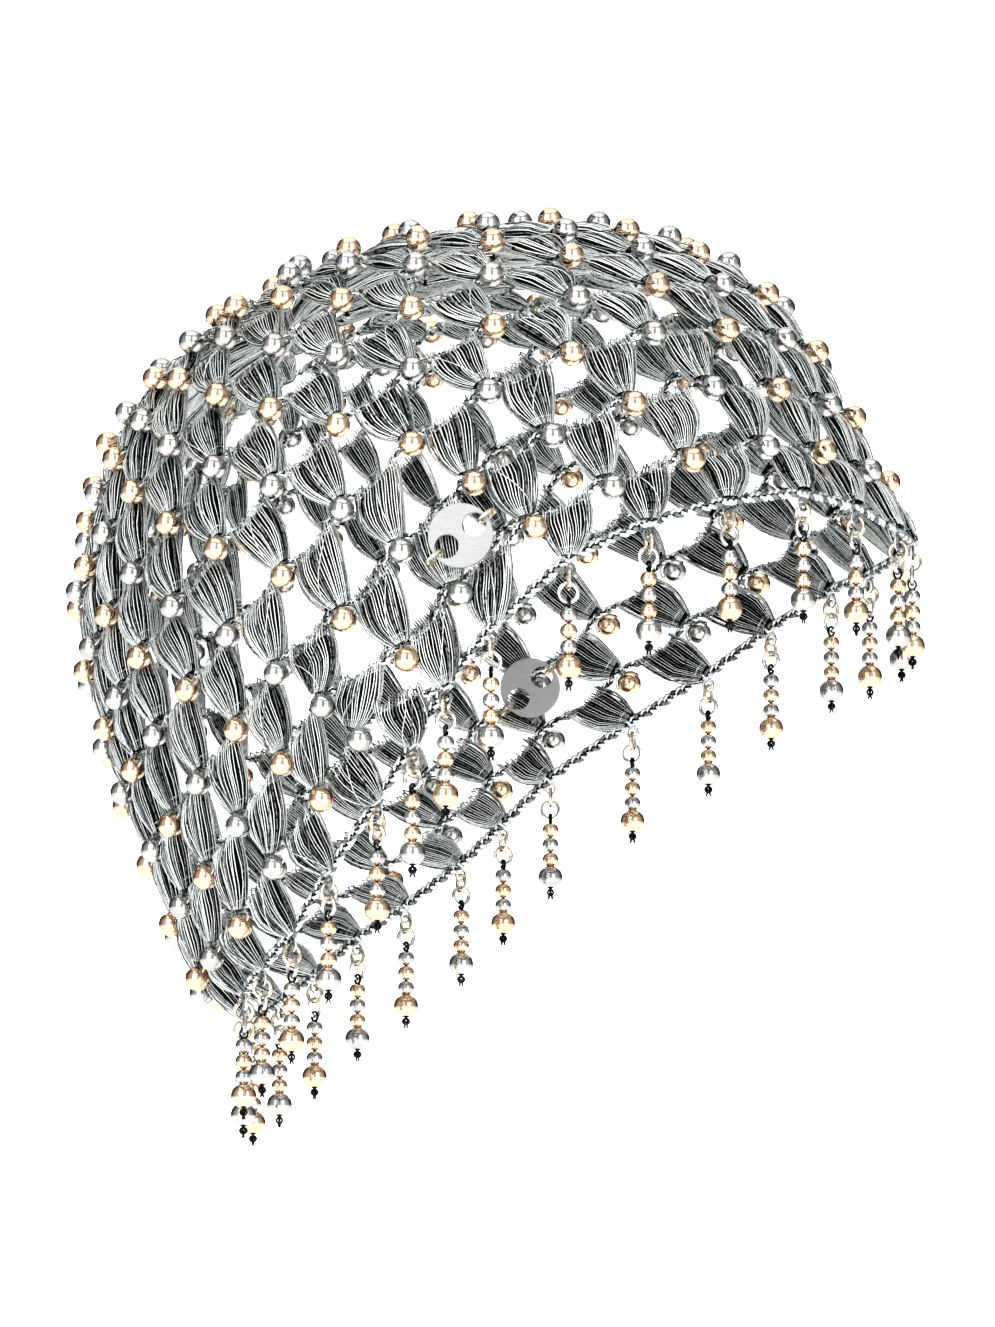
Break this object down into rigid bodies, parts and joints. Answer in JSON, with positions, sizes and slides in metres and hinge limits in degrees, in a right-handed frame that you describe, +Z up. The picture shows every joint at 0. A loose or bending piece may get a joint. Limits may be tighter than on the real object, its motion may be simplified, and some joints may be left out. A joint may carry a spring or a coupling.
{
  "type": "beaded crochet cap",
  "caption": "Openwork crochet cap of metallic yarn in puff stitches, with beads at the knots, a plaited rim, a fringe of bead drops and two pierced discs.",
  "frame": {"origin": "inside of the crown, where a head carries the cap", "axes": "+Z up, -Y towards the face, +X towards the wearer's left"},
  "size_m": [0.181, 0.2112, 0.2268],
  "materials": {
    "yarn": "silver and black metallic yarn, soft sheen",
    "beaded_chain": "plaited metallic yarn with polished beads",
    "rim_cord": "plaited silver and black metallic yarn",
    "pale_gold_ring": "polished pale gold",
    "silver_ring": "polished silver",
    "gold_drop": "polished pale gold and silver",
    "silver_drop": "polished silver and pale gold",
    "disc": "brushed, plain"
  },
  "bodies": {
    "root": {"crown_ring": "yarn", "puffs_01": "yarn", "puffs_02": "yarn", "puffs_03": "yarn", "puffs_04": "yarn", "puffs_05": "yarn", "puffs_06": "yarn", "puffs_07": "yarn", "puffs_08": "yarn", "puffs_09": "yarn", "puffs_10": "yarn", "puffs_11": "yarn", "beads_01": "beaded_chain", "beads_02": "beaded_chain", "beads_03": "beaded_chain", "beads_04": "beaded_chain", "beads_05": "beaded_chain", "beads_06": "beaded_chain", "beads_07": "beaded_chain", "beads_08": "beaded_chain", "beads_09": "beaded_chain", "beads_10": "beaded_chain", "rim_chain": "rim_cord", "hook_rings": "pale_gold_ring", "eye_rings": "silver_ring", "drop_01": "gold_drop", "drop_02": "silver_drop", "drop_03": "gold_drop", "drop_04": "silver_drop", "drop_05": "gold_drop", "drop_06": "silver_drop", "drop_07": "gold_drop", "drop_08": "silver_drop", "drop_09": "gold_drop", "drop_10": "silver_drop", "drop_11": "gold_drop", "drop_12": "silver_drop", "drop_13": "gold_drop", "drop_14": "silver_drop", "drop_15": "gold_drop", "drop_16": "silver_drop", "drop_17": "gold_drop", "drop_18": "silver_drop", "drop_19": "gold_drop", "drop_20": "silver_drop", "drop_21": "gold_drop", "drop_22": "silver_drop", "drop_23": "gold_drop", "drop_24": "silver_drop", "drop_25": "gold_drop", "drop_26": "silver_drop", "drop_27": "gold_drop", "drop_28": "silver_drop", "drop_29": "gold_drop", "drop_30": "silver_drop", "disc_right": "disc", "disc_left": "disc", "disc_rings": "pale_gold_ring"}
  },
  "joints": []
}
